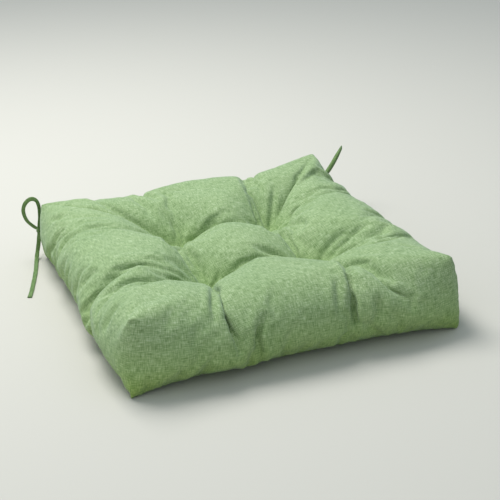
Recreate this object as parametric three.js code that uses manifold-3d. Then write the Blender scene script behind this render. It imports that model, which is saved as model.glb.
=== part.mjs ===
// Square tufted seat pad: a fabric cover with boxed corners, loose polyester filling, four circle
// tacks sewn right through it, and two knotted straps at each rear corner.
// Millimetres, +Z up. The origin is the middle of the underside, and the front faces -Y.
import * as THREE from "three";
import { mergeVertices } from "three/addons/utils/BufferGeometryUtils.js";
import Module from "manifold-3d";

const wasm = await Module();
wasm.setup();

// Cover
const SIDE = 508; // corner to corner, both ways
const CROWN = 125; // highest point, in the middle of the top
const CORNER_TOP = 116; // top of each corner seam
const EDGE_TOP = 108; // top of a wall half way along it
const EDGE_LIFT = 6; // the bottom edge stands this far off the seat
const EDGE_PULL = 12; // a wall's top and bottom edges pull in this far half way along
const WAIST_PULL = 3; // and its middle height this far
const FABRIC = 1.5; // thickness of the cloth with its backing
const GAP = 0.3; // left between pieces that touch
const SEAM_Z = EDGE_LIFT + FABRIC + GAP; // the top panel starts here, on the bottom panel's edge
const ALLOWANCE = 12; // width of the edge turned in at that seam
const SEGMENTS = 8; // faces along one side of the cover
const LEVELS = 3; // faces up one wall
const WALL_ZONE = 30; // nearer the edge than this, the cover is split at the seam and not half way up

// Tufts, which are marked by hand and so stand a little off an even grid
const tufts = {
  front_left: [-80, -80],
  front_right: [88, -80],
  rear_left: [-73, 82],
  rear_right: [88, 79],
};
const TUFT_TOP = 52; // the top cloth is drawn down to here
const TUFT_BOTTOM = 27; // and the bottom cloth up to here
const TUFT_MIDDLE = (TUFT_TOP + TUFT_BOTTOM) / 2;
const TUFT_FLAT = 12; // radius of the flat spot under the stitches
const TOP_FLARE = 100; // radius at which the top dimple meets the crown
const BOTTOM_FLARE = 50; // radius at which the bottom dimple meets the seat
const FLARE_POWER = 0.75; // below 1 the dimple is steepest at its foot
const FLARE_STEPS = 4;
const FLARE_SIDES = 12;

// Circle tacks: a ring of stitches on each face, with legs that meet half way through
const RING_RADIUS = 9;
const RING_THREAD = 0.8; // radius of the ring's thread
const RING_FACES = [5, 12]; // round the thread, and round the ring
const LEG_THREAD = 0.6; // radius of a leg
const LEG_SIDES = 5;
const LEG_HOLE = 5; // each leg's hole starts this far outside the cloth
const LEGS = 2;

// Seam threads
const STITCH = 0.9; // width and height of a line of stitches
const STITCH_INSET = 5; // from the cover's edge
const CLOSING_LENGTH = 200; // part of the rear seam that is sewn after filling
const CORNER_INSET = 2.6; // from both walls to the corner's stitches
const CORNER_CHANNEL = 4.2; // the filling keeps this far out of each corner
const CORNER_LENGTHS = 4; // faces up a corner's stitches

// Straps: each strand's outward distance from the middle, depth and height, from knot to end
const STRAP_RADIUS = 2; // a round section with the folded strap's area
const STRAP_SIDES = 8;
const STRAP_STEP = 9;
const KNOT = [260, 260, 50];
const KNOT_RADIUS = 6;
const KNOT_FACES = [10, 8];
const LEFT_LOOP = [
  [265.5, 260.5, 54.5],
  [272, 261, 60.5],
  [279, 262, 69],
  [283, 263, 80],
  [283.5, 263, 91],
  [279, 262.5, 101.5],
  [270, 262, 107.5],
  [261.5, 262, 104.5],
  [257.5, 262, 95],
  [256.8, 262, 83],
  [257.8, 261.5, 70],
  [259.3, 260.5, 57],
];
const LEFT_TAIL = [
  [261, 260.5, 43.2],
  [262.5, 261, 32],
  [264.5, 260.5, 21],
  [267.5, 257.5, 11.5],
  [271, 250, 5],
  [274, 240, 2.6],
  [277, 228, 2.3],
  [281, 212, 2.3],
  [286, 194, 2.3],
  [292, 174, 2.3],
  [299, 152, 2.3],
  [306, 130, 2.3],
  [314, 108, 2.3],
];
const RIGHT_LOOP = [
  [266, 257, 56],
  [273, 251.5, 65],
  [281, 248.5, 77],
  [289.5, 248, 89],
  [298, 249.5, 101],
  [306.5, 254, 111.5],
  [314, 261.5, 116.5],
  [318.5, 270, 114.5],
  [317.5, 276.5, 107],
  [311.5, 278, 97],
  [304, 277, 86.5],
  [295.5, 275, 76.5],
  [286, 271.5, 67.5],
  [276, 267.5, 60],
  [267.5, 263, 54.5],
];
const RIGHT_TAIL = [
  [261, 260.5, 43.2],
  [262.5, 261, 32],
  [265, 260.5, 21],
  [269.5, 258, 11.5],
  [276, 252.5, 5],
  [284, 244, 2.6],
  [291, 233, 2.3],
  [295, 219, 2.3],
  [296, 204, 2.3],
  [293, 190, 2.3],
  [288, 178, 2.3],
];
const REAR_TAIL = [
  [258.5, 265, 45.5],
  [256.5, 270, 36],
  [253, 273.5, 25],
  [247, 276, 14.5],
  [238.5, 278, 6.5],
  [228, 279, 2.8],
  [214, 280, 2.3],
  [198, 281, 2.3],
  [182, 281.5, 2.3],
  [166, 281, 2.3],
  [150, 279.5, 2.3],
  [134, 279, 2.3],
  [120, 282, 2.3],
  [110, 291, 2.3],
  [108, 304, 2.3],
  [116, 315, 2.3],
  [129, 319, 2.3],
  [144, 317, 2.3],
  [159, 313, 2.3],
];

// Care label, sewn into the rear seam and turned up against the rear wall
const LABEL_X = 120;
const LABEL_WIDTH = 45;
const LABEL_THICK = 0.6;
const LABEL_STEPS = 5;
const LABEL_CURVE = [
  [246.5, 8.2],
  [253.2, 16],
  [252.8, 38],
]; // depth and height of its sewn edge, the pull of its bend, and its free edge

const green = { color: 0x7f9e63, roughness: 0.95, metalness: 0 };
const cloth = new THREE.MeshStandardMaterial(green);
const strap = new THREE.MeshStandardMaterial({ ...green, color: 0x67874c });
const thread = new THREE.MeshStandardMaterial({ color: 0x5d7a44, roughness: 0.7, metalness: 0 });
const fibre = new THREE.MeshStandardMaterial({ color: 0xf1f1ee, roughness: 1, metalness: 0 });
const satin = new THREE.MeshStandardMaterial({ color: 0xf4f4f0, roughness: 0.6, metalness: 0 });

const pad = new THREE.Group();

// A closed three.js geometry as a solid that can be cut and joined.
function solid(geometry) {
  const bare = geometry.clone();
  bare.deleteAttribute("normal");
  bare.deleteAttribute("uv");
  const merged = mergeVertices(bare, 1e-4);
  return new wasm.Manifold(
    new wasm.Mesh({
      numProp: 3,
      vertProperties: new Float32Array(merged.attributes.position.array),
      triVerts: new Uint32Array(merged.index.array),
    }),
  );
}

function geometryOf(body) {
  const mesh = body.getMesh();
  const geometry = new THREE.BufferGeometry();
  geometry.setAttribute("position", new THREE.BufferAttribute(mesh.vertProperties, 3));
  geometry.setIndex(new THREE.BufferAttribute(mesh.triVerts, 1));
  geometry.computeVertexNormals();
  return geometry;
}

function add(name, geometry, material) {
  const node = new THREE.Mesh(geometry, material);
  node.name = name;
  pad.add(node);
}

function block(low, high) {
  const size = high.map((value, i) => value - low[i]);
  const middle = high.map((value, i) => (value + low[i]) / 2);
  return solid(new THREE.BoxGeometry(...size).translate(...middle));
}

function upright(radius, bottom, top, x, y) {
  const rod = new THREE.CylinderGeometry(radius, radius, top - bottom, LEG_SIDES).rotateX(Math.PI / 2);
  return solid(rod.translate(x, y, (bottom + top) / 2));
}

// How far a wall is drawn in: along runs from -1 to 1 between its corners, level from -1 to 1 up it.
function pull(along, level) {
  return (1 - along ** 4) * (WAIST_PULL + (EDGE_PULL - WAIST_PULL) * level ** 2);
}

function topHeight(u, v) {
  const crown = (1 - u ** 4) * (1 - v ** 4);
  const corner = u ** 4 * v ** 4;
  return EDGE_TOP + (CROWN - EDGE_TOP) * crown + (CORNER_TOP - EDGE_TOP) * corner;
}

function bottomHeight(u, v) {
  return EDGE_LIFT * THREE.MathUtils.smoothstep(Math.max(Math.abs(u), Math.abs(v)), 0.8, 1);
}

// The pad without its tufts, shrunk all round by an inset.
function cushion(inset) {
  const grid = new THREE.BoxGeometry(2, 2, 2, SEGMENTS, SEGMENTS, LEVELS);
  const place = grid.attributes.position;
  for (let i = 0; i < place.count; i++) {
    const [u, v, level] = [place.getX(i), place.getY(i), place.getZ(i)];
    const bottom = bottomHeight(u, v) + inset;
    const top = topHeight(u, v) - inset;
    const halfX = SIDE / 2 - inset - pull(v, level);
    const halfY = SIDE / 2 - inset - pull(u, level);
    place.setXYZ(i, u * halfX, v * halfY, bottom + ((level + 1) / 2) * (top - bottom));
  }
  return solid(grid);
}

// The round hollow that a tuft draws into a face. It opens upwards with way 1 and downwards with -1.
function dimple(floor, mouth, flare, inset, way) {
  const profile = [new THREE.Vector2(0, floor)];
  for (let i = 0; i <= FLARE_STEPS; i++) {
    const share = i / FLARE_STEPS;
    const radius = TUFT_FLAT + (flare - TUFT_FLAT) * share + inset;
    profile.push(new THREE.Vector2(radius, floor + (mouth - floor) * share ** FLARE_POWER));
  }
  const past = mouth + way * CROWN;
  profile.push(new THREE.Vector2(flare + inset, past), new THREE.Vector2(0, past));
  if (way < 0) profile.reverse();
  return new THREE.LatheGeometry(profile, FLARE_SIDES).rotateX(Math.PI / 2);
}

// The pad with its eight dimples, shrunk all round by an inset.
function tufted(inset) {
  let body = cushion(inset);
  const above = dimple(TUFT_TOP - inset, CROWN, TOP_FLARE, inset, 1);
  const below = dimple(TUFT_BOTTOM + inset, 0, BOTTOM_FLARE, inset, -1);
  for (const [x, y] of Object.values(tufts)) {
    body = body.subtract(solid(above.clone().translate(x, y, 0)));
    body = body.subtract(solid(below.clone().translate(x, y, 0)));
  }
  return body;
}

// The outline of the pad's bottom edge, shrunk by an inset.
function outline(inset) {
  const points = [];
  for (let side = 0; side < 4; side++) {
    for (let i = 0; i < SEGMENTS; i++) {
      const along = -1 + (2 * i) / SEGMENTS;
      const wall = SIDE / 2 - inset - pull(along, -1);
      const point = new THREE.Vector2(wall, (along * SIDE) / 2 - along * inset);
      points.push(point.rotateAround(new THREE.Vector2(), (side * Math.PI) / 2));
    }
  }
  return points;
}

// A flat frame that follows the outline, between two insets and two heights.
function border(outer, inner, bottom, top) {
  const shape = new THREE.Shape(outline(outer));
  shape.holes.push(new THREE.Path(outline(inner)));
  const flat = new THREE.ExtrudeGeometry(shape, { depth: top - bottom, bevelEnabled: false });
  return solid(flat.translate(0, 0, bottom));
}

// Places round a tuft where the tack's legs pass through.
function legPlaces([x, y]) {
  return Array.from({ length: LEGS }, (_, i) => {
    const turn = (2 * Math.PI * i) / LEGS;
    return [x + RING_RADIUS * Math.cos(turn), y + RING_RADIUS * Math.sin(turn)];
  });
}

function pierced(body) {
  for (const tuft of Object.values(tufts)) {
    for (const [x, y] of legPlaces(tuft)) {
      const hole = upright(LEG_THREAD + GAP, TUFT_BOTTOM - LEG_HOLE, TUFT_TOP + LEG_HOLE, x, y);
      body = body.subtract(hole);
    }
  }
  return body;
}

function addCover() {
  const zone = SIDE / 2 - WALL_ZONE;
  const column = block([-zone, -zone, -SIDE], [zone, zone, SIDE]);
  const above = (z) => block([-SIDE, -SIDE, z], [SIDE, SIDE, SIDE]);
  const below = (z) => block([-SIDE, -SIDE, -SIDE], [SIDE, SIDE, z]);
  const skin = tufted(0).subtract(tufted(FABRIC));
  const inside = skin.intersect(column);
  const outside = skin.subtract(column);
  const walls = outside.intersect(above(SEAM_Z)).add(inside.intersect(above(TUFT_MIDDLE)));
  const turned = border(FABRIC / 2, ALLOWANCE, SEAM_Z, SEAM_Z + FABRIC);
  add("top_panel", geometryOf(pierced(walls.add(turned))), cloth);
  const base = outside.intersect(below(SEAM_Z - GAP)).add(inside.intersect(below(TUFT_MIDDLE)));
  add("bottom_panel", geometryOf(pierced(base)), cloth);
}

function addFilling() {
  const seamTop = SEAM_Z + FABRIC + 2 * GAP + STITCH;
  let body = tufted(FABRIC + GAP).subtract(border(-FABRIC, ALLOWANCE + GAP, -1, seamTop + GAP));
  for (const x of [-SIDE / 2, SIDE / 2]) {
    for (const y of [-SIDE / 2, SIDE / 2]) {
      const low = [x - CORNER_CHANNEL, y - CORNER_CHANNEL, -1];
      body = body.subtract(block(low, [x + CORNER_CHANNEL, y + CORNER_CHANNEL, CROWN]));
    }
  }
  add("polyester_fill", geometryOf(pierced(body)), fibre);
}

// One face's ring of stitches with its legs, which run from the ring to the middle of the pad.
function tack(tuft, height, end) {
  const ring = new THREE.TorusGeometry(RING_RADIUS, RING_THREAD, ...RING_FACES);
  let body = solid(ring.translate(tuft[0], tuft[1], height));
  for (const [x, y] of legPlaces(tuft)) {
    body = body.add(upright(LEG_THREAD, Math.min(height, end), Math.max(height, end), x, y));
  }
  return geometryOf(body);
}

function addTacks() {
  for (const [name, tuft] of Object.entries(tufts)) {
    const over = TUFT_TOP + GAP + RING_THREAD;
    const under = TUFT_BOTTOM - GAP - RING_THREAD;
    add(`tuft_needle_thread_${name}`, tack(tuft, over, TUFT_MIDDLE + GAP / 2), thread);
    add(`tuft_bobbin_thread_${name}`, tack(tuft, under, TUFT_MIDDLE - GAP / 2), thread);
  }
}

function addSeams() {
  const bottom = SEAM_Z + FABRIC + GAP;
  const line = border(STITCH_INSET, STITCH_INSET + STITCH, bottom, bottom + STITCH);
  const half = CLOSING_LENGTH / 2;
  const opening = (end) => block([-end, 0, 0], [end, SIDE, CROWN]);
  add("perimeter_seam_thread", geometryOf(line.subtract(opening(half + GAP))), thread);
  add("closing_seam_thread", geometryOf(line.intersect(opening(half))), thread);
  for (const [name, tuft] of Object.entries(tufts)) {
    const low = tuft.map((value) => Math.sign(value) * (SIDE / 2 - CORNER_INSET - STITCH / 2));
    const foot = bottom + STITCH + GAP;
    const height = CORNER_TOP - 2 * CORNER_INSET - FABRIC - foot;
    const rod = new THREE.BoxGeometry(STITCH, STITCH, height, 1, 1, CORNER_LENGTHS);
    rod.translate(low[0], low[1], foot + height / 2);
    add(`corner_seam_thread_${name}`, rod, thread);
  }
}

// A strand along its points, on the left with side -1 and on the right with side 1.
function strand(points, side) {
  const section = new THREE.Shape();
  for (let i = 0; i < STRAP_SIDES; i++) {
    const turn = (2 * Math.PI * (i + 0.5)) / STRAP_SIDES;
    const corner = [STRAP_RADIUS * Math.cos(turn), STRAP_RADIUS * Math.sin(turn)];
    if (i) section.lineTo(...corner);
    else section.moveTo(...corner);
  }
  const places = points.map(([out, y, z]) => new THREE.Vector3(side * out, y, z));
  const path = new THREE.CatmullRomCurve3(places);
  const steps = Math.round(path.getLength() / STRAP_STEP);
  return new THREE.ExtrudeGeometry(section, { steps, extrudePath: path, bevelEnabled: false });
}

function addTie(name, side, loop, tail) {
  add(`tie_${name}_loop`, strand(loop, side), strap);
  add(`tie_${name}_tail`, strand(tail, side), strap);
  add(`tie_${name}_rear_tail`, strand(REAR_TAIL, side), strap);
  const knot = new THREE.SphereGeometry(KNOT_RADIUS, ...KNOT_FACES);
  add(`tie_${name}_knot`, knot.translate(side * KNOT[0], KNOT[1], KNOT[2]), strap);
}

function addLabel() {
  const bend = new THREE.QuadraticBezierCurve(...LABEL_CURVE.map((pair) => new THREE.Vector2(...pair)));
  const outer = bend.getPoints(LABEL_STEPS);
  const inner = outer.map((point) => new THREE.Vector2(point.x - LABEL_THICK, point.y));
  const profile = new THREE.Shape([...outer, ...inner.reverse()]);
  const sheet = new THREE.ExtrudeGeometry(profile, { depth: LABEL_WIDTH, bevelEnabled: false });
  sheet.rotateZ(Math.PI / 2).rotateY(Math.PI / 2).translate(LABEL_X - LABEL_WIDTH / 2, 0, 0);
  add("care_label", sheet, satin);
}

addCover();
addFilling();
addTacks();
addSeams();
addTie("left", -1, LEFT_LOOP, LEFT_TAIL);
addTie("right", 1, RIGHT_LOOP, RIGHT_TAIL);
addLabel();

export default pad;
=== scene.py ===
"""Tufted seat pad: a simulated cloth cover, its filling, seams, circle tacks, label and knotted straps.

Everything is in metres in the CAD model's frame: +Z up, and the pad's front towards -Y.
"""

import math

import bpy
import numpy as np
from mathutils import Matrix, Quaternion, Vector, noise
from mathutils.bvhtree import BVHTree


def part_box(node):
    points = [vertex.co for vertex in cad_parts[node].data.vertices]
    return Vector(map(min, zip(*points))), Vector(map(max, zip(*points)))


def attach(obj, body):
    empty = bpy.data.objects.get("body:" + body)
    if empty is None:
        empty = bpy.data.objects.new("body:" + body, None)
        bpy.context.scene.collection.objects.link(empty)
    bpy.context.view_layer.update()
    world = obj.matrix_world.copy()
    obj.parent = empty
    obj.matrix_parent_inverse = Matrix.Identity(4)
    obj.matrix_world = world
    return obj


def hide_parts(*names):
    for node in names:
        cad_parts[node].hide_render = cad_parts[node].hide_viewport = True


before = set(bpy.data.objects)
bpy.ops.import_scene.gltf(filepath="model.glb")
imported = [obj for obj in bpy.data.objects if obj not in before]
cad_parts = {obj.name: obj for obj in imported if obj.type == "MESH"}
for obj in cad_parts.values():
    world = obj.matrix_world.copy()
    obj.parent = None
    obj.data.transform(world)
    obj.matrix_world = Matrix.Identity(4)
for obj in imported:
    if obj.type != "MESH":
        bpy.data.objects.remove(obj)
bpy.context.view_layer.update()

MM = 0.001

# The cloth before it is filled. It is cut larger than the pad, because the tacks draw it in.
CUT_SIDE = 0.546
CUT_HEIGHT = 0.120
CUT_DROP = 0.018  # the rear left corner is cut this much lower
CELL = 0.0058  # width of a face of the simulated cloth
ON_EDGE = 1e-5  # a point of the cut cloth nearer than this to an edge is on it
FAR = 1.0  # stands for a distance too long to matter
SIDE_HALF = 0.254  # of the filled pad, at its bottom corners
CLOTH = 1.5 * MM  # the cloth's thickness with its backing
RIM_PULL = 12 * MM  # the bottom edge is drawn in this far half way along each side
RIM_LIFT = 10 * MM  # and stands this far off the floor there
RIM_ZONE = 0.8  # share of the half side at which the underside starts to rise
FRONT_RIGHT_REACH = 4 * MM  # the front right corner stands out this much further

# Tacks: where each one holds the filled pad
TACKS = {
    "front_left": (-0.080, -0.080),
    "front_right": (0.088, -0.080),
    "rear_left": (-0.073, 0.082),
    "rear_right": (0.088, 0.079),
}
TACK_EASE = 1.15  # the marks on the cut cloth are this much further apart
TACK_FLAT = 0.011  # radius of the cloth that is held at a mark
TACK_TOP = 0.052  # height of the held top cloth
TACK_BOTTOM = 0.027  # and of the held bottom cloth
TACK_RING = 0.009  # radius of the ring of stitches
TACK_FLARE = 0.05  # radius of the hollow that a tack leaves in the underside
TACK_LEGS = 8

# Simulation
FRAMES = 32
TACKING = 16  # the frame at which the tacks are fully down
PRESSURE = 20
GATHER = 0.05  # how much the cloth shrinks at most along the drawn lines

FIBRE_DEPTH = 5 * MM  # the filling keeps about this far inside the cover's outer face

# Seams and label
RIM_INSET = 5 * MM
RIM_STITCH_HEIGHT = 2.2 * MM
CLOSING_HALF = 0.104  # half of the rear seam that is sewn last, on the cut cloth
CORNER_INSET = 3.2 * MM
CORNER_ENDS = (11 * MM, 5 * MM)  # a corner's stitches stay this far off the floor and the top
LABEL_WIDTH = 45 * MM
LABEL_LENGTH = 32 * MM

# Deep folds in the filled cover, in millimetres on the cut cloth spread flat round the top panel:
# how deep (less than 0 raises the cloth), how wide, and the line that each one follows
CREASES = [
    (6.0, 5.0, [(-128, -200), (-138, -230), (-149, -262), (-153, -300)]),
    (7.0, 6.0, [(-112, -205), (-122, -265), (-118, -310), (-107, -350)]),
    (7.0, 6.0, [(-75, -300), (-74, -342), (-66, -388)]),
    (5.0, 5.0, [(112, -200), (104, -236), (103, -270)]),
    (8.0, 6.0, [(96, -200), (90, -250), (82, -305)]),
    (8.0, 6.0, [(88, -287), (85, -324), (85, -360)]),
    (5.0, 6.0, [(66, -258), (55, -296), (52, -330)]),
    (5.0, 8.0, [(130, -295), (127, -322), (114, -360)]),
    (-4.5, 9.0, [(146, -250), (170, -290), (194, -325)]),
    (5.0, 5.0, [(118, -100), (160, -88), (204, -80), (245, -79)]),
    (5.0, 5.0, [(120, -112), (165, -125), (218, -140)]),
    (4.0, 5.0, [(115, -135), (160, -152), (186, -182)]),
    (4.0, 5.0, [(-104, -90), (-165, -75), (-236, -66)]),
    (4.0, 5.0, [(-104, -118), (-150, -145), (-212, -155)]),
    (5.0, 5.0, [(80, 72), (87, 117), (81, 183)]),
    (4.0, 5.0, [(98, 88), (126, 138), (156, 196)]),
    (4.0, 5.0, [(-80, 66), (-69, 134), (-83, 190)]),
    (5.0, 5.0, [(124, 60), (171, 91), (221, 94)]),
]
CREASES_PER_WALL = 8  # random ones, on each wall but the front one
# Lines along which the tacks draw the cloth up towards the front edge, in the same millimetres
DRAWN_LINES = [
    [(-94, -98), (-112, -205), (-122, -265), (-112, -335)],
    [(104, -98), (118, -195), (91, -269), (84, -340)],
]


# ---------------------------------------------------------------- small helpers


def link(name, mesh):
    obj = bpy.data.objects.new(name, mesh)
    bpy.context.scene.collection.objects.link(obj)
    return obj


def mesh_object(name, points, faces, material=None):
    mesh = bpy.data.meshes.new(name)
    mesh.from_pydata([tuple(p) for p in points], [], faces)
    mesh.polygons.foreach_set("use_smooth", [True] * len(mesh.polygons))
    if material:
        mesh.materials.append(material)
    mesh.update()
    return link(name, mesh)


def places(mesh):
    flat = np.empty(len(mesh.vertices) * 3, np.float32)
    mesh.vertices.foreach_get("co", flat)
    return flat.reshape(-1, 3).astype(float)


def set_uv(mesh, coordinates):
    """Writes cloth coordinates in metres, one pair for each face corner."""
    layer = mesh.uv_layers.new(name="cloth")
    layer.data.foreach_set("uv", np.asarray(coordinates, np.float32).ravel())


def unit(vectors):
    return vectors / np.maximum(np.linalg.norm(vectors, axis=-1, keepdims=True), 1e-12)


def smoothstep(x):
    x = np.clip(x, 0, 1)
    return x * x * (3 - 2 * x)


# ---------------------------------------------------------------- camera


def make_camera():
    target = Vector((0.0387, 0.0374, 0.05))
    azimuth, elevation, roll = (math.radians(a) for a in (-21.82, 24.04, -0.73))
    back = Vector(
        (
            math.sin(azimuth) * math.cos(elevation),
            -math.cos(azimuth) * math.cos(elevation),
            math.sin(elevation),
        )
    )
    data = bpy.data.cameras.new("camera")
    data.sensor_width = 36
    data.lens = 82.2
    data.clip_start = 0.01
    camera = link("camera", data)
    camera.location = target + back * 1.868
    turn = (-back).to_track_quat("-Z", "Y") @ Quaternion((0, 0, 1), roll)
    camera.rotation_euler = turn.to_euler()
    bpy.context.scene.camera = camera


# ---------------------------------------------------------------- materials


class Shader:
    """A material whose nodes are added one call at a time."""

    def __init__(self, name):
        self.material = bpy.data.materials.new(name)
        self.material.use_nodes = True
        self.tree = self.material.node_tree
        self.surface = self.tree.nodes["Principled BSDF"]

    def add(self, kind, values=None, **settings):
        node = self.tree.nodes.new(kind)
        for key, value in settings.items():
            setattr(node, key, value)
        for key, value in (values or {}).items():
            self.feed(node.inputs[key], value)
        return node

    def feed(self, socket, value):
        if isinstance(value, bpy.types.NodeSocket):
            self.tree.links.new(value, socket)
        else:
            socket.default_value = value

    def math(self, operation, a, b=0.0, c=0.0):
        return self.add("ShaderNodeMath", {0: a, 1: b, 2: c}, operation=operation).outputs[0]

    def noise(self, vector, stretch, detail=2.0, roughness=0.5):
        mapping = self.add("ShaderNodeMapping", {"Vector": vector, "Scale": stretch})
        values = {"Vector": mapping.outputs[0], "Scale": 1.0, "Detail": detail, "Roughness": roughness}
        return self.add("ShaderNodeTexNoise", values).outputs["Fac"]

    def ramp(self, factor, stops):
        node = self.add("ShaderNodeValToRGB", {"Fac": factor})
        band = node.color_ramp
        while len(band.elements) < len(stops):
            band.elements.new(0.5)
        for element, (position, colour) in zip(band.elements, stops):
            element.position = position
            element.color = (*colour, 1)
        return node.outputs[0]

    def mix(self, factor, a, b, blend="MIX"):
        node = self.add("ShaderNodeMix", data_type="RGBA", blend_type=blend)
        self.feed(node.inputs[0], factor)
        self.feed(node.inputs[6], a)
        self.feed(node.inputs[7], b)
        return node.outputs[2]

    def bump(self, height, distance, strength, normal=None):
        values = {"Height": height, "Distance": distance, "Strength": strength}
        if normal is not None:
            values["Normal"] = normal
        return self.add("ShaderNodeBump", values).outputs[0]

    def surface_values(self, **values):
        for key, value in values.items():
            self.feed(self.surface.inputs[key.replace("_", " ")], value)


# The cover's painted light: heights as shares of CUT_HEIGHT, and what its colour is multiplied by
# there: a painted shade, darker and olive, near the floor, and a painted bluish sky reflection higher
# up
PAINTED_SHADE_AND_SKY = [(0.05, (0.77, 0.76, 0.42)), (0.38, (0.86, 0.83, 0.80)), (0.75, (0.88, 0.82, 0.96))]
YARN_WIDTH = 1.15 * MM
SLUB_LENGTHS = (11 * MM, 12 * MM)  # of the warp yarn's and the weft yarn's thick stretches


def heathered_cloth(name, dark, middle, light, thread=0.9 * MM, painted_light_by_height=False):
    """A plain weave of slubby two-tone yarn, on cloth coordinates in metres.

    With painted light by height, the cloth is paler and bluer higher up, a painted sky reflection, and
    darker and more olive near the floor, a painted shade.
    """
    s = Shader(name)
    uv = s.add("ShaderNodeUVMap", uv_map="cloth").outputs[0]
    warp = s.noise(uv, (1 / YARN_WIDTH, 1 / SLUB_LENGTHS[0], 1), 2.0, 0.5)
    weft = s.noise(uv, (1 / SLUB_LENGTHS[1], 1 / YARN_WIDTH, 1), 2.0, 0.5)
    fleck = s.noise(uv, (1 / (1.2 * MM), 1 / (1.5 * MM), 1), 1.0, 0.5)
    patch = s.noise(uv, (11, 9, 1), 2.0, 0.5)
    yarn = s.math("ADD", s.math("MULTIPLY", warp, 0.45), s.math("MULTIPLY", weft, 0.45))
    yarn = s.math("ADD", yarn, s.math("MULTIPLY", fleck, 0.10))
    colour = s.ramp(yarn, [(0.35, dark), (0.50, middle), (0.65, light)])
    tone = s.ramp(patch, [(0.30, (0.92, 0.94, 0.90)), (0.70, (1.07, 1.05, 1.06))])
    colour = s.mix(1.0, colour, tone, "MULTIPLY")
    # Painted light: the colour is multiplied by a ramp on height, with painted shade low down and a
    # painted bluish sky reflection higher up
    if painted_light_by_height:
        at = s.add("ShaderNodeTexCoord").outputs["Object"]
        height = s.math("DIVIDE", s.add("ShaderNodeSeparateXYZ", {0: at}).outputs[2], CUT_HEIGHT)
        painted_light_ramp = s.ramp(height, PAINTED_SHADE_AND_SKY)
        colour = s.mix(1.0, colour, painted_light_ramp, "MULTIPLY")
    split = s.add("ShaderNodeSeparateXYZ", {0: uv})
    across = s.math("SINE", s.math("MULTIPLY", split.outputs[0], math.pi / thread))
    along = s.math("SINE", s.math("MULTIPLY", split.outputs[1], math.pi / thread))
    weave = s.math("MULTIPLY", across, along)
    normal = s.bump(yarn, 0.8 * MM, 0.55)
    normal = s.bump(weave, 0.12 * MM, 0.35, normal)
    rough = s.math("MULTIPLY_ADD", yarn, -0.15, 0.95)
    s.surface_values(Base_Color=colour, Roughness=rough, Normal=normal)
    s.surface_values(Specular_IOR_Level=0.25, Sheen_Weight=0.15, Sheen_Roughness=0.5)
    s.surface_values(Sheen_Tint=(0.74, 0.88, 1.0, 1.0))
    return s.material


def twisted_thread(name, dark, light):
    s = Shader(name)
    at = s.add("ShaderNodeTexCoord").outputs["Object"]
    twist = s.add(
        "ShaderNodeTexWave",
        {"Vector": at, "Scale": 380.0, "Distortion": 2.0, "Detail": 1.0},
        bands_direction="DIAGONAL",
    ).outputs["Fac"]
    fuzz = s.noise(at, (2600, 2600, 2600), 2.0)
    colour = s.mix(twist, (*dark, 1), (*light, 1))
    colour = s.mix(0.3, colour, s.ramp(fuzz, [(0.3, dark), (0.7, light)]))
    s.surface_values(Base_Color=colour, Normal=s.bump(twist, 0.15 * MM, 0.5))
    s.surface_values(Roughness=0.6, Sheen_Weight=0.2)
    return s.material


def crimped_fibre(name):
    s = Shader(name)
    at = s.add("ShaderNodeTexCoord").outputs["Object"]
    strands = s.noise(at, (900, 260, 420), 6.0, 0.7)
    clumps = s.noise(at, (42, 38, 45), 3.0)
    shade = s.math("ADD", s.math("MULTIPLY", strands, 0.6), s.math("MULTIPLY", clumps, 0.4))
    colour = s.ramp(shade, [(0.25, (0.66, 0.66, 0.63)), (0.6, (0.9, 0.9, 0.88))])
    s.surface_values(Base_Color=colour, Normal=s.bump(shade, 2 * MM, 0.8))
    s.surface_values(Roughness=1.0, Sheen_Weight=0.5)
    return s.material


def satin(name):
    s = Shader(name)
    uv = s.add("ShaderNodeUVMap", uv_map="cloth").outputs[0]
    ribs = s.noise(uv, (1 / (0.3 * MM), 1 / (6 * MM), 1), 2.0)
    stain = s.noise(uv, (60, 50, 1), 2.0)
    tone = s.math("ADD", s.math("MULTIPLY", ribs, 0.5), s.math("MULTIPLY", stain, 0.5))
    colour = s.ramp(tone, [(0.3, (0.74, 0.74, 0.70)), (0.7, (0.86, 0.86, 0.83))])
    s.surface_values(Base_Color=colour, Normal=s.bump(ribs, 0.1 * MM, 0.3))
    s.surface_values(Roughness=0.42, Anisotropic=0.5, Sheen_Weight=0.1)
    return s.material


COVER = heathered_cloth(
    "heathered green cloth",
    dark=(0.140, 0.244, 0.076),
    middle=(0.287, 0.433, 0.165),
    light=(0.485, 0.65, 0.33),
    # the cover gets painted shade low down and a painted sky reflection higher up
    painted_light_by_height=True,
)
STRAP = heathered_cloth(
    "strap cloth",
    dark=(0.055, 0.100, 0.025),
    middle=(0.120, 0.205, 0.060),
    light=(0.22, 0.32, 0.13),
    thread=0.8 * MM,
)
THREAD = twisted_thread("sewing thread", (0.07, 0.13, 0.04), (0.17, 0.27, 0.10))
FIBRE = crimped_fibre("polyester fibre")
SATIN = satin("label satin")


# ---------------------------------------------------------------- straps

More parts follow.
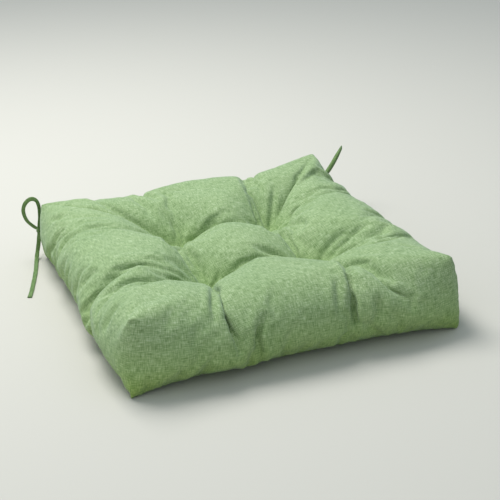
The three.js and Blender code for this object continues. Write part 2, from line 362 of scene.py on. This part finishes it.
# Each strand's outward distance, depth and height in millimetres, from the CAD model's routes
KNOT = (260, 260, 50)
LEFT_LOOP = [
    (265.5, 260.5, 54.5), (272, 261, 60.5), (279, 262, 69), (283, 263, 80), (283.5, 263, 91),
    (279, 262.5, 101.5), (270, 262, 107.5), (261.5, 262, 104.5), (257.5, 262, 95),
    (256.8, 262, 83), (257.8, 261.5, 70), (259.3, 260.5, 57),
]
LEFT_TAIL = [
    (261, 260.5, 43.2), (262.5, 261, 32), (264.5, 260.5, 21), (267.5, 257.5, 11.5), (271, 250, 5),
    (274, 240, 2.6), (277, 228, 2.3), (281, 212, 2.3), (286, 194, 2.3), (292, 174, 2.3),
    (299, 152, 2.3), (306, 130, 2.3), (314, 108, 2.3),
]
RIGHT_LOOP = [
    (266, 257, 56), (273, 251.5, 65), (281, 248.5, 77), (289.5, 248, 89),
    (298, 249.5, 101), (306.5, 254, 111.5), (314, 261.5, 116.5),
    (318.5, 270, 114.5), (317.5, 276.5, 107), (311.5, 278, 97),
    (304, 277, 86.5), (295.5, 275, 76.5), (286, 271.5, 67.5),
    (276, 267.5, 60), (267.5, 263, 54.5),
]
RIGHT_TAIL = [
    (261, 260.5, 43.2), (262.5, 261, 32), (265, 260.5, 21), (269.5, 258, 11.5), (276, 252.5, 5),
    (284, 244, 2.6), (291, 233, 2.3), (295, 219, 2.3), (296, 204, 2.3), (293, 190, 2.3),
    (288, 178, 2.3),
]
REAR_TAIL = [
    (258.5, 265, 45.5), (256.5, 270, 36), (253, 273.5, 25), (247, 276, 14.5), (238.5, 278, 6.5),
    (228, 279, 2.8), (214, 280, 2.3), (198, 281, 2.3), (182, 281.5, 2.3), (166, 281, 2.3),
    (150, 279.5, 2.3), (134, 279, 2.3), (120, 282, 2.3), (110, 291, 2.3), (108, 304, 2.3),
    (116, 315, 2.3), (129, 319, 2.3), (144, 317, 2.3), (159, 313, 2.3),
]
STRAP_WIDTH = 7 * MM
STRAP_THICK = 1.8 * MM
LYING_HEIGHT = 2.3 * MM  # of the routes' points where they lie on the floor
FLOOR_GAP = 0.35 * MM
SEWN_IN = [(250, 250, 34), (254, 254, 38)]  # where a strap comes out of its corner seam
REAR_SEWN_IN = [(250, 250, 62), (254, 254.5, 59), (258.6, 261.4, 52)]
INTO_KNOT = (259.2, 259.4, 50.5)
OUT_OF_KNOT = (260.6, 260.8, 49.5)
UNTWISTING = 22 * MM  # a twisted loop lies flat again over this length
# Half of the folded strap's section, as shares of its half width and half thickness, with the
# groove of its edge stitching
STRAP_SECTION = [
    (-1, 0.35), (-0.93, 0.8), (-0.75, 1), (-0.3, 1.02), (0.2, 0.98), (0.5, 0.95), (0.62, 0.6),
    (0.74, 0.92), (0.93, 0.75), (1, 0.3),
]


def route(points, side, step=2.5 * MM):
    """Evenly spaced places along a smooth curve through the points."""
    p = np.array(points, float) * MM
    p[:, 0] *= side
    p = np.vstack([2 * p[0] - p[1], p, 2 * p[-1] - p[-2]])
    t = np.linspace(0, 1, 12, endpoint=False)[:, None]
    parts = []
    for a, b, c, d in zip(p, p[1:], p[2:], p[3:]):
        square = (2 * a - 5 * b + 4 * c - d) * t**2
        cube = (3 * b - a - 3 * c + d) * t**3
        parts.append(0.5 * (2 * b + (c - a) * t + square + cube))
    fine = np.vstack([*parts, p[-2:-1]])
    run = np.concatenate([[0], np.cumsum(np.linalg.norm(np.diff(fine, axis=0), axis=1))])
    even = np.linspace(0, run[-1], round(run[-1] / step) + 1)
    return np.column_stack([np.interp(even, run, fine[:, i]) for i in range(3)]), run[-1]


def carried_sides(path, last_normal):
    """Width directions along a path that don't twist, so that the strap lies flat at its end."""
    tangent = unit(np.gradient(path, axis=0))
    normal = np.empty_like(path)
    n = np.array(last_normal, float)
    for i in range(len(path) - 1, -1, -1):
        n = n - tangent[i] * n.dot(tangent[i])
        n /= np.linalg.norm(n)
        normal[i] = n
    return tangent, normal


def strap(name, path, twist, width=STRAP_WIDTH, thick=STRAP_THICK, last_normal=(0, 0, 1)):
    """A folded strap along path, turned about its length by twist, with a turned-in end."""
    tangent, normal = carried_sides(path, last_normal)
    across = np.cross(tangent, normal)
    c, s = np.cos(twist)[:, None], np.sin(twist)[:, None]
    across, normal = across * c + normal * s, normal * c - across * s
    section = STRAP_SECTION + [(x, -y) for x, y in reversed(STRAP_SECTION)]
    run = np.concatenate([[0], np.cumsum(np.linalg.norm(np.diff(path, axis=0), axis=1))])
    to_end = run[-1] - run
    swell = 1 + 0.22 * (to_end < 6 * MM)
    waver = 1 + 0.05 * np.sin(run * 310) * np.sin(run * 97 + 1)
    points, uv_ring = [], []
    for x, y in section:
        wide = across * (x * width / 2 * waver)[:, None]
        high = normal * (y * thick / 2 * swell)[:, None]
        points.append(path + wide + high)
        uv_ring.append(x * width / 2 + (width if y < 0 else 0))
    rings = np.stack(points, axis=1)
    count, sides = rings.shape[:2]
    faces, uv = [], []
    for i in range(count - 1):
        for j in range(sides):
            k = (j + 1) % sides
            faces.append((i * sides + j, (i + 1) * sides + j, (i + 1) * sides + k, i * sides + k))
            u0, u1 = uv_ring[j], uv_ring[k]
            uv += [(u0, run[i]), (u0, run[i + 1]), (u1, run[i + 1]), (u1, run[i])]
    half = sides // 2
    for start, flip in ((0, False), ((count - 1) * sides, True)):
        for j in range(half - 1):
            quad = [start + j, start + j + 1, start + sides - 2 - j, start + sides - 1 - j]
            faces.append(tuple(reversed(quad)) if flip else tuple(quad))
            uv += [(0, 0), (0, width), (width, width), (width, 0)]
    obj = mesh_object(name, rings.reshape(-1, 3), faces, STRAP)
    set_uv(obj.data, uv)
    return obj


def lower_onto_floor(path):
    """Lets the lying part of a route down until the flat strap all but touches the floor."""
    drop = LYING_HEIGHT - STRAP_THICK / 2 - FLOOR_GAP
    path[:, 2] -= drop * smoothstep((14 * MM - path[:, 2]) / (10 * MM))
    return path


def add_knot(name, side):
    """An overhand knot, pulled tight: a strap along a small trefoil."""
    t = np.linspace(0, 2 * np.pi, 73)
    x = np.sin(t) + 2 * np.sin(2 * t)
    y = np.cos(t) - 2 * np.cos(2 * t)
    trefoil = np.column_stack([x, y, -1.4 * np.sin(3 * t)])
    size = np.array([1.45, 1.45, 1.55]) * MM
    path = trefoil * size
    tilt = Quaternion(Vector((0.3, 1, 0.2)).normalized(), 1.2 * side).to_matrix()
    centre = np.array([side * KNOT[0], KNOT[1], KNOT[2]]) * MM
    path = path @ np.array(tilt).T + centre
    twist = 0.5 + 0.4 * np.sin(3 * t)
    return strap(f"tie_{name}_overhand_knot", path, twist, 5.2 * MM, 2.6 * MM, path[-1] - centre)


def add_tie(name, side, loop, tail, turn):
    knot = add_knot(name, side)
    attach(knot, "root")
    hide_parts(f"tie_{name}_knot")

    path, length = route([*SEWN_IN, INTO_KNOT, *loop, OUT_OF_KNOT, *tail], side)
    path = lower_onto_floor(path)
    run = np.linspace(0, length, len(path))
    out = np.array([side * OUT_OF_KNOT[0], OUT_OF_KNOT[1], OUT_OF_KNOT[2]]) * MM
    knot_again = np.argmin(np.linalg.norm(path - out, axis=1))
    twist = turn * smoothstep((run[knot_again] - run) / UNTWISTING)
    strand = strap(f"tie_{name}_strap", path, twist)
    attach(strand, "root")
    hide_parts(f"tie_{name}_loop", f"tie_{name}_tail")

    path, length = route([*REAR_SEWN_IN, *REAR_TAIL], side)
    path = lower_onto_floor(path)
    rear = strap(f"tie_{name}_rear_strap", path, np.zeros(len(path)))
    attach(rear, "root")
    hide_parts(f"tie_{name}_rear_tail")


# ---------------------------------------------------------------- the cloth


def cut_height(x, y):
    return CUT_HEIGHT - CUT_DROP * (y / CUT_SIDE + 0.5) * (0.5 - x / CUT_SIDE)


def cut_cloth():
    """The cut pieces sewn into an empty box: places, faces and the panel each face is in."""
    across = 2 * round(CUT_SIDE / CELL / 2)
    up = round(CUT_HEIGHT / CELL)
    index, rest, faces, panel = {}, [], [], []

    def corner(i, j, k):
        if (i, j, k) not in index:
            index[i, j, k] = len(rest)
            x, y = (i / across - 0.5) * CUT_SIDE, (j / across - 0.5) * CUT_SIDE
            rest.append((x, y, k / up * cut_height(x, y)))
        return index[i, j, k]

    def add(name, *corners):
        faces.append(tuple(corner(*c) for c in corners))
        panel.append(name)

    n = across
    for i in range(n):
        for j in range(n):
            add("top", (i, j, up), (i + 1, j, up), (i + 1, j + 1, up), (i, j + 1, up))
            add("bottom", (i, j, 0), (i, j + 1, 0), (i + 1, j + 1, 0), (i + 1, j, 0))
        for k in range(up):
            add("front", (i, 0, k), (i + 1, 0, k), (i + 1, 0, k + 1), (i, 0, k + 1))
            add("rear", (i + 1, n, k), (i, n, k), (i, n, k + 1), (i + 1, n, k + 1))
            add("left", (0, i + 1, k), (0, i, k), (0, i, k + 1), (0, i + 1, k + 1))
            add("right", (n, i, k), (n, i + 1, k), (n, i + 1, k + 1), (n, i, k + 1))
    return np.array(rest), faces, panel


def marks():
    return {name: np.array(at) * TACK_EASE for name, at in TACKS.items()}


def hold(rest):
    """Which points of the cloth are held, and where they end: the tacks and the flat underside."""
    half = CUT_SIDE / 2
    x, y, z = rest.T
    under = z < ON_EDGE
    held = np.zeros(len(rest), bool)
    goal = rest.copy()
    clear = under.copy()
    for name, mark in marks().items():
        reach = np.hypot(x - mark[0], y - mark[1])
        clear &= reach > TACK_FLARE
        for spot, height in (
            ((reach < TACK_FLAT) & (z > CUT_HEIGHT / 2), TACK_TOP),
            ((reach < TACK_FLAT) & under, TACK_BOTTOM),
        ):
            held |= spot
            goal[spot, :2] += np.array(TACKS[name]) - mark
            goal[spot, 2] = height
    u, v = x / half, y / half

    def near_edge(a):
        return np.clip((np.abs(a) - RIM_ZONE) / (1 - RIM_ZONE), 0, 1) ** 2

    held |= clear
    shrink = SIDE_HALF / half
    in_x, in_y = near_edge(u) * (1 - v**4), near_edge(v) * (1 - u**4)
    goal[clear, 0] = (x * shrink - np.sign(u) * in_x * RIM_PULL)[clear]
    goal[clear, 1] = (y * shrink - np.sign(v) * in_y * RIM_PULL)[clear]
    goal[clear, 0] += (FRONT_RIGHT_REACH * np.clip(u, 0, 1) ** 4 * np.clip(-v, 0, 1) ** 4)[clear]
    goal[clear, 2] = (RIM_LIFT * np.maximum(in_x, in_y))[clear]
    return held, goal


def gathers(rest):
    """How much the cloth is drawn up, from 0 to 1, near the lines from the front tacks."""
    flat = spread_flat(rest)
    weight = np.zeros(len(rest))
    for line in DRAWN_LINES:
        nearest, _, _ = line_coordinates(flat, line)
        weight = np.maximum(weight, np.exp(-((nearest / (12 * MM)) ** 2)))
    return weight * (rest[:, 2] > 0.3 * CUT_HEIGHT)


def fill_cloth(rest, faces):
    """Tacks the cloth down and fills it, by simulation, and returns its places."""
    held, goal = hold(rest)
    pad = mesh_object("cloth being filled", rest, faces)
    pad.vertex_groups.new(name="held").add(np.flatnonzero(held).tolist(), 1.0, "REPLACE")
    lines = pad.vertex_groups.new(name="gathers")
    amount = np.round(gathers(rest), 1)
    for level in np.unique(amount[amount > 0]):
        lines.add(np.flatnonzero(amount == level).tolist(), float(level), "REPLACE")
    pad.shape_key_add(name="Basis")
    key = pad.shape_key_add(name="tacked")
    key.data.foreach_set("co", goal.astype(np.float32).ravel())
    for value, at in ((0, 1), (1, TACKING)):
        key.value = value
        key.keyframe_insert("value", frame=at)
    modifier = pad.modifiers.new("cloth", "CLOTH")
    cloth = modifier.settings
    cloth.quality = 6
    cloth.mass = 0.15
    cloth.air_damping = 1
    cloth.tension_stiffness = cloth.compression_stiffness = 15
    cloth.shear_stiffness = 5
    cloth.bending_stiffness = 0.15
    cloth.tension_damping = cloth.compression_damping = cloth.shear_damping = 5
    cloth.bending_damping = 0.5
    cloth.use_pressure = True
    cloth.uniform_pressure_force = PRESSURE
    cloth.vertex_group_mass = "held"
    cloth.pin_stiffness = 1
    cloth.vertex_group_shrink = "gathers"
    cloth.shrink_min = 0
    cloth.shrink_max = GATHER
    cloth.effector_weights.gravity = 0
    cloth.use_internal_springs = True
    cloth.internal_spring_max_length = CUT_HEIGHT * 1.6
    cloth.internal_spring_max_diversion = 0.02
    cloth.internal_spring_normal_check = True
    cloth.internal_tension_stiffness = 0.05
    cloth.internal_compression_stiffness = 0
    modifier.collision_settings.use_collision = False
    modifier.point_cache.frame_start = 1
    modifier.point_cache.frame_end = FRAMES
    scene = bpy.context.scene
    for number in range(1, FRAMES + 1):
        scene.frame_set(number)
    filled = places(pad.evaluated_get(bpy.context.evaluated_depsgraph_get()).data)
    mesh, keys = pad.data, pad.data.shape_keys
    action = keys.animation_data.action
    bpy.data.objects.remove(pad)
    bpy.data.meshes.remove(mesh)
    bpy.data.actions.remove(action)
    scene.frame_set(1)
    filled[:, 2] = np.maximum(filled[:, 2], 0.3 * MM)
    return filled


def cloth_coordinates(point, name):
    """Where a point of the cut cloth lies when its panel is spread flat round the top."""
    x, y, z = point
    past = CUT_SIDE / 2 + CUT_HEIGHT - z
    return {
        "top": (x, y),
        "front": (x, -past),
        "rear": (x, past),
        "left": (-past, y),
        "right": (past, y),
        "bottom": (x + 1, y),
    }[name]


def sewn_panel(name, rest, filled, faces, panel, chosen):
    """One panel or group of panels as a smooth fine mesh, with its cloth coordinates."""
    picked = [(f, p) for f, p in zip(faces, panel) if p in chosen]
    used = sorted({v for f, _ in picked for v in f})
    renumber = {v: i for i, v in enumerate(used)}
    coarse = mesh_object(name, filled[used], [tuple(renumber[v] for v in f) for f, _ in picked])
    mesh = coarse.data
    set_uv(mesh, [cloth_coordinates(rest[v], p) for f, p in picked for v in f])
    cut = mesh.attributes.new("cut", "FLOAT_VECTOR", "POINT")
    cut.data.foreach_set("vector", rest[used].astype(np.float32).ravel())
    corners = np.abs(np.abs(rest[used][:, :2]) - CUT_SIDE / 2).max(axis=1) < ON_EDGE
    crease = mesh.attributes.new("crease_edge", "FLOAT", "EDGE")
    sharp = [0.55 if corners[e.vertices[0]] and corners[e.vertices[1]] else 0.0 for e in mesh.edges]
    crease.data.foreach_set("value", sharp)
    coarse.modifiers.new("smooth", "SUBSURF").levels = 1
    fine = bpy.data.meshes.new_from_object(coarse.evaluated_get(bpy.context.evaluated_depsgraph_get()))
    bpy.data.objects.remove(coarse)
    bpy.data.meshes.remove(mesh)
    fine.name = name
    return link(name, fine)


def wobble(run, wavelength, seed):
    """Uneven waves along a seam, from -1 to 1."""
    phase = 2 * np.pi * run / wavelength
    wave = np.sin(phase + seed + 1.7 * np.sin(phase * 0.21 + seed))
    return wave * (0.65 + 0.35 * np.sin(phase * 0.37 + 2 * seed))


def spread_flat(cut):
    """Places on the cut cloth with the walls folded out round the top panel."""
    half = CUT_SIDE / 2
    x, y, z = cut.T
    past = np.maximum(CUT_HEIGHT - z, 0)
    flat = np.column_stack([x, y])
    flat[:, 0] += np.sign(x) * past * (half - np.abs(x) < ON_EDGE)
    flat[:, 1] += np.sign(y) * past * (half - np.abs(y) < ON_EDGE)
    return flat


def wall_creases():
    """Random folds over the top edges of the right, rear and left walls, written like CREASES."""
    rng = np.random.default_rng(5)
    half = CUT_SIDE / 2 / MM
    found = []
    for turn in (1, 2, 3):
        for along in np.linspace(-205, 205, CREASES_PER_WALL):
            at = along + rng.uniform(-18, 18)
            top = half + rng.uniform(-35, 35)
            low = top + rng.uniform(45, 75)
            lean = rng.uniform(-16, 16)
            line = [(at, -top), (at + 0.4 * lean, -(top + low) / 2), (at + lean, -low)]
            for _ in range(turn):
                line = [(-y, x) for x, y in line]
            found.append((rng.uniform(2.5, 5.5), rng.uniform(5, 8), line))
    return found


def line_coordinates(flat, line):
    """Each point's distance from a line, its share of the way along it, and which side it is on."""
    line = np.array(line) * MM
    steps = np.linalg.norm(np.diff(line, axis=0), axis=1)
    run, nearest, side = np.zeros(len(flat)), np.full(len(flat), 1.0), np.zeros(len(flat))
    start = 0.0
    for a, b, length in zip(line, line[1:], steps):
        ahead = (b - a) / length
        t = np.clip((flat - a) @ ahead, 0, length)
        off = flat - a - t[:, None] * ahead
        far = np.linalg.norm(off, axis=1)
        closer = far < nearest
        nearest[closer] = far[closer]
        run[closer] = (start + t)[closer]
        side[closer] = (off @ np.array([-ahead[1], ahead[0]]))[closer]
        start += length
    return nearest, run / start, side


def creased(flat):
    """How far the creases press the cloth in (negative) and raise it beside them."""
    push = np.zeros(len(flat))
    for depth, width, line in CREASES + wall_creases():
        nearest, share, side = line_coordinates(flat, line)
        fade = smoothstep(share / 0.3) * smoothstep((1 - share) / 0.4)
        w = width * MM
        valley = np.exp(-((nearest / w) ** 1.4))
        ridge = np.exp(-(((np.abs(side) - 1.7 * w) / (1.1 * w)) ** 2)) * (nearest < 5 * w)
        push += fade * depth * MM * (0.42 * ridge - valley)
    return push


def seam_puckers(cut):
    """Small waves along the bottom edge's seam and the corner seams, which also sink a little."""
    x, y, z = cut.T
    to_x, to_y = CUT_SIDE / 2 - np.abs(x), CUT_SIDE / 2 - np.abs(y)
    edge = np.minimum(to_x, to_y)
    on_wall = edge < ON_EDGE
    from_rim = np.where(z < ON_EDGE, edge, np.where(on_wall, z, FAR))
    run = np.where(to_x < to_y, y, x + 3.0)
    push = -1.0 * MM * np.exp(-from_rim / (2.5 * MM))
    push += 0.9 * MM * np.exp(-from_rim / (11 * MM)) * wobble(run, 13 * MM, 0.7)
    from_corner = np.where(on_wall, np.maximum(to_x, to_y), FAR)
    run = z + np.sign(x) + 2 * np.sign(y)
    push -= 0.9 * MM * np.exp(-from_corner / (2.2 * MM))
    push += 0.8 * MM * np.exp(-from_corner / (10 * MM)) * wobble(run, 15 * MM, 2.1)
    return push


def tack_puckers(cut):
    """Fans of uneven small folds round each tack, on both faces."""
    x, y, z = cut.T
    edge = CUT_SIDE / 2 - np.maximum(np.abs(x), np.abs(y))
    push = np.zeros(len(cut))
    for number, mark in enumerate(marks().values()):
        reach = np.hypot(x - mark[0], y - mark[1])
        near = (edge > 0.02) & (reach < 0.09)
        angle = np.arctan2(y - mark[1], x - mark[0])
        folds = 9 + number % 3 + (z < ON_EDGE)
        wave = np.sin(folds * angle + number * 1.3 + 1.1 * np.sin(2 * angle + number))
        fade = smoothstep((reach - 7 * MM) / (6 * MM)) * np.exp(-reach / (24 * MM))
        push += near * 3.2 * MM * fade * (np.abs(wave) ** 0.7 * np.sign(wave) - 0.25)
    return push


def ripples(cut):
    """Slight unevenness of the filled cloth, which fades out at the bottom edge."""
    uneven = [noise.noise(Vector(p) * 38) + 0.5 * noise.noise(Vector(p) * 95) for p in cut]
    return 0.7 * MM * np.array(uneven) * smoothstep(cut[:, 2] / (20 * MM))


def pucker(obj, deep_folds):
    """Presses a panel's small folds into its mesh, and the deep ones if asked."""
    mesh = obj.data
    at = places(mesh)
    flat = np.empty(len(at) * 3, np.float32)
    mesh.attributes["cut"].data.foreach_get("vector", flat)
    cut = flat.reshape(-1, 3).astype(float)
    mesh.vertices.foreach_get("normal", flat)
    normal = flat.reshape(-1, 3).astype(float)
    push = seam_puckers(cut) + tack_puckers(cut) + ripples(cut)
    if deep_folds:
        push += creased(spread_flat(cut)) * smoothstep((cut[:, 2] - 4 * MM) / (20 * MM))
    at += normal * push[:, None]
    at[:, 2] = np.maximum(at[:, 2], 0.2 * MM)
    mesh.vertices.foreach_set("co", at.astype(np.float32).ravel())
    mesh.update()


def finish_panel(obj, node):
    """Gives a panel its cloth and its thickness, in place of its CAD node."""
    obj.data.materials.clear()
    obj.data.materials.append(COVER)
    obj.data.polygons.foreach_set("use_smooth", [True] * len(obj.data.polygons))
    thickness = obj.modifiers.new("cloth thickness", "SOLIDIFY")
    thickness.thickness = CLOTH
    thickness.offset = -1
    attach(obj, "root")
    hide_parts(node)


# ---------------------------------------------------------------- stitches


def stitches(name, runs, nodes, length=3.4 * MM, radius=0.42 * MM, lift=(0, 0, 1)):
    """Rows of separate stitches along each run of points."""
    sides = 6
    ring = np.linspace(0, 2 * np.pi, sides + 1)[:-1]
    share = np.linspace(0, 1, 6)
    swell = np.array([0.45, 0.95, 1.0, 1.0, 0.95, 0.45]) * radius
    rise = np.array([-0.7, 0.15, 0.45, 0.45, 0.15, -0.7]) * radius
    points, faces = [], []
    for run in runs:
        run = np.asarray(run, float)
        far = np.concatenate([[0], np.cumsum(np.linalg.norm(np.diff(run, axis=0), axis=1))])
        count = max(1, round(far[-1] / length))
        for i in range(count):
            along = (i + 0.06 + 0.88 * share) * far[-1] / count
            spine = np.column_stack([np.interp(along, far, run[:, a]) for a in range(3)])
            ahead = unit(spine[-1] - spine[0])
            up = np.array(lift, float)
            up = unit(up - ahead * up.dot(ahead))
            side = np.cross(ahead, up)
            spine = spine + up * rise[:, None]
            base = len(points)
            for centre, r in zip(spine, swell):
                points.extend(centre + r * (np.cos(a) * side + np.sin(a) * up) for a in ring)
            for k in range(len(share) - 1):
                for j in range(sides):
                    a, b = base + k * sides + j, base + k * sides + (j + 1) % sides
                    faces.append((a, b, b + sides, a + sides))
            faces.append(tuple(base + j for j in reversed(range(sides))))
            faces.append(tuple(base + (len(share) - 1) * sides + j for j in range(sides)))
    obj = mesh_object(name, points, faces, THREAD)
    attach(obj, "root")
    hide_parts(*nodes)
    return obj


def rim_points(rest, filled):
    """The points of the bottom edge, on the cut cloth and on the filled pad."""
    reach = np.maximum(np.abs(rest[:, 0]), np.abs(rest[:, 1]))
    rim = (rest[:, 2] < ON_EDGE) & (reach > CUT_SIDE / 2 - ON_EDGE)
    return rest[rim], filled[rim]


def add_seams(rest, filled):
    cut, rim = rim_points(rest, filled)
    inner = rim.copy()
    inner[:, :2] -= np.sign(rim[:, :2]) * np.minimum(RIM_INSET, np.abs(rim[:, :2]))
    inner[:, 2] += RIM_STITCH_HEIGHT
    half = CUT_SIDE / 2
    closing = (cut[:, 1] > half - ON_EDGE) & (np.abs(cut[:, 0]) < CLOSING_HALF)
    opening = np.flatnonzero(closing)
    opening = opening[np.argsort(cut[opening, 0])]
    around = np.flatnonzero(~closing)
    around = around[np.argsort(np.arctan2(cut[around, 0], -cut[around, 1]))]
    stitches("perimeter_stitches", [inner[around]], ["perimeter_seam_thread"])
    stitches("closing_stitches", [inner[opening]], ["closing_seam_thread"])
    for name, mark in marks().items():
        sx, sy = np.sign(mark)
        away = np.abs(rest[:, :2] - (sx * half, sy * half)).max(axis=1)
        column = np.flatnonzero(away < ON_EDGE)
        column = column[np.argsort(rest[column, 2])]
        line = filled[column].copy()
        line[:, 0] -= sx * CORNER_INSET
        line[:, 1] -= sy * CORNER_INSET
        line = line[(line[:, 2] > CORNER_ENDS[0]) & (line[:, 2] < line[-1, 2] - CORNER_ENDS[1])]
        stitches(f"corner_stitches_{name}", [line], [f"corner_seam_thread_{name}"], lift=(-sx, -sy, 0))


def add_tacks():
    middle = (TACK_TOP + TACK_BOTTOM) / 2
    steps = 60
    turn = np.linspace(0, 2 * np.pi, steps + 1)
    for name, (x, y) in TACKS.items():
        for kind, height, way in (("needle", TACK_TOP, 1), ("bobbin", TACK_BOTTOM, -1)):
            level = height + way * 0.75 * MM
            around = [x + TACK_RING * np.cos(turn), y + TACK_RING * np.sin(turn)]
            ring = np.column_stack([*around, np.full(steps + 1, level)])
            gap = way * 0.2 * MM
            legs = []
            for i in range(TACK_LEGS):
                foot = ring[round(i * steps / TACK_LEGS)]
                legs.append([foot - (0, 0, gap), (foot[0], foot[1], middle + gap)])
            node = f"tuft_{kind}_thread_{name}"
            size = {"length": 3.6 * MM, "radius": 0.62 * MM, "lift": (0, 0, way)}
            loops = stitches(f"tack_{kind}_ring_{name}", [ring], [node], **size)
            size = {"length": TACK_TOP, "radius": 0.4 * MM, "lift": (1, 0, 0)}
            strands = stitches(f"tack_{kind}_legs_{name}", legs, [], **size)
            strands.parent = loops


# ---------------------------------------------------------------- filling and label


def add_filling(rest, filled, faces):
    body = mesh_object("filling", filled, faces, FIBRE)
    flat = np.empty(len(filled) * 3, np.float32)
    body.data.vertices.foreach_get("normal", flat)
    outward = flat.reshape(-1, 3).astype(float)
    lumps = np.array([noise.noise(Vector(p) * 120) for p in rest])
    under_creases = -1.3 * np.minimum(creased(spread_flat(rest)), 0)
    depth = FIBRE_DEPTH + 0.9 * MM * lumps + under_creases
    moved = filled - outward * depth[:, None]
    body.data.vertices.foreach_set("co", moved.astype(np.float32).ravel())
    body.data.update()
    body.modifiers.new("smooth", "SUBSURF").levels = 1
    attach(body, "root")
    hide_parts("polyester_fill")


def add_label(cover):
    """A blank satin strip, sewn into the rear seam and turned up against the rear wall."""
    mesh = cover.data
    wall = BVHTree.FromPolygons(places(mesh).tolist(), [tuple(p.vertices) for p in mesh.polygons])
    columns, rows = 19, 15
    low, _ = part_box("care_label")
    grid = []
    for i in range(columns):
        x = low.x + LABEL_WIDTH * i / (columns - 1)
        z, last, done = low.z + 3 * MM, None, 0.0
        line = []
        while len(line) < rows and z < 0.08:
            hit = wall.ray_cast(Vector((x, 0.4, z)), Vector((0, -1, 0)))
            lift = (0.8 + 3.0 * (done / LABEL_LENGTH) ** 2 + 0.5 * math.sin(9 * i / columns)) * MM
            place = hit[0] + Vector((0, lift, 0))
            if last is not None:
                done += (place - last).length
            if done >= len(line) * LABEL_LENGTH / (rows - 1) - 1e-9:
                line.append(place.copy())
            last = place
            z += 0.1 * MM
        grid.append(line)
    points = [p for line in grid for p in line]
    faces, uv = [], []
    for i in range(columns - 1):
        for j in range(rows - 1):
            a = i * rows + j
            faces.append((a, a + 1, a + rows + 1, a + rows))
            for di, dj in ((0, 0), (0, 1), (1, 1), (1, 0)):
                u = (i + di) / (columns - 1) * LABEL_WIDTH
                v = (j + dj) / (rows - 1) * LABEL_LENGTH
                uv.append((u, v))
    label = mesh_object("blank_care_label", points, faces, SATIN)
    set_uv(label.data, uv)
    label.modifiers.new("smooth", "SUBSURF").levels = 1
    label.modifiers.new("cloth thickness", "SOLIDIFY").thickness = 0.3 * MM
    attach(label, "root")
    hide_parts("care_label")


# ---------------------------------------------------------------- floor and light


def add_room():
    s = Shader("pale floor")
    s.surface_values(Base_Color=(0.56, 0.54, 0.48, 1), Roughness=0.9, Specular_IOR_Level=0.2)
    corners = [(-6, -6, 0), (6, -6, 0), (6, 6, 0), (-6, 6, 0)]
    floor = mesh_object("floor", corners, [(0, 1, 2, 3)], s.material)
    world = bpy.data.worlds.new("soft sky")
    bpy.context.scene.world = world
    world.use_nodes = True
    background = world.node_tree.nodes["Background"]
    background.inputs["Color"].default_value = (0.78, 0.90, 1.0, 1)
    background.inputs["Strength"].default_value = 0.60
    for name, place, size, power in (
        ("key", (-0.5, 0.9, 2.2), 1.3, 62),
        ("fill", (-2.0, -1.2, 1.2), 2.0, 6),
    ):
        light = bpy.data.lights.new(name, "AREA")
        light.size = size
        light.energy = power
        lamp = link(name, light)
        lamp.location = place
        aim = Vector((0, 0, 0.05)) - Vector(place)
        lamp.rotation_euler = aim.to_track_quat("-Z", "Y").to_euler()
    bpy.context.scene.view_settings.view_transform = "Standard"


# ---------------------------------------------------------------- everything

make_camera()
add_tie("left", -1, LEFT_LOOP, LEFT_TAIL, 1.0)
add_tie("right", 1, RIGHT_LOOP, RIGHT_TAIL, 0.9)

rest, faces, panel = cut_cloth()
filled = fill_cloth(rest, faces)
upper = {"top", "front", "rear", "left", "right"}
cover = sewn_panel("cushion_cover", rest, filled, faces, panel, upper)
base = sewn_panel("cushion_underside", rest, filled, faces, panel, {"bottom"})
pucker(cover, deep_folds=True)
pucker(base, deep_folds=False)
finish_panel(cover, "top_panel")
finish_panel(base, "bottom_panel")
add_filling(rest, filled, faces)
add_seams(rest, filled)
add_tacks()
add_label(cover)
add_room()
